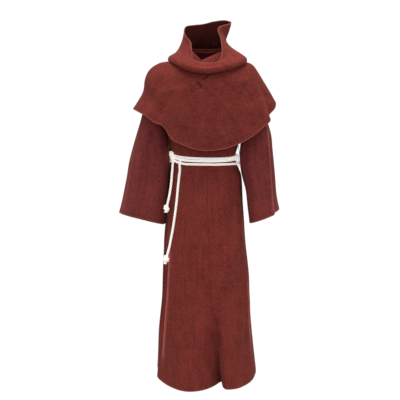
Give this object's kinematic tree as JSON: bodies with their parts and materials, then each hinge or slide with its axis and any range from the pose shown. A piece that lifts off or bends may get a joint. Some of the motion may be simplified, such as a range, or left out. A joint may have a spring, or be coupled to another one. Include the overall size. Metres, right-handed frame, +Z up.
{
  "type": "franciscan monk habit",
  "caption": "Full-length friar's habit of brown-red wool with wide sleeves, a hooded shoulder cape over it and a knotted white rope girdle, kept in its hollow worn shape",
  "frame": {"origin": "Midway between the two points where the neck meets the shoulders, which carry the habit", "axes": "+Z is up the body, the habit faces -Y and its wearer's left is +X"},
  "size_m": [0.7529, 0.4553, 1.6965],
  "materials": {
    "cloth": "plain-woven wool, matte",
    "rope": "twisted cotton cord",
    "loop": "thread"
  },
  "bodies": {
    "root": {"robe_front_right": "cloth", "robe_front_left": "cloth", "robe_back_right": "cloth", "robe_back_left": "cloth", "sleeve_right": "cloth", "sleeve_left": "cloth", "cape_right": "cloth", "cape_left": "cloth", "hood_right": "cloth", "hood_left": "cloth", "girdle_turns": "rope", "girdle_end_short": "rope", "girdle_end_long": "rope", "knot_short": "rope", "knot_long": "rope", "loop_right": "loop", "loop_left": "loop"}
  },
  "joints": []
}
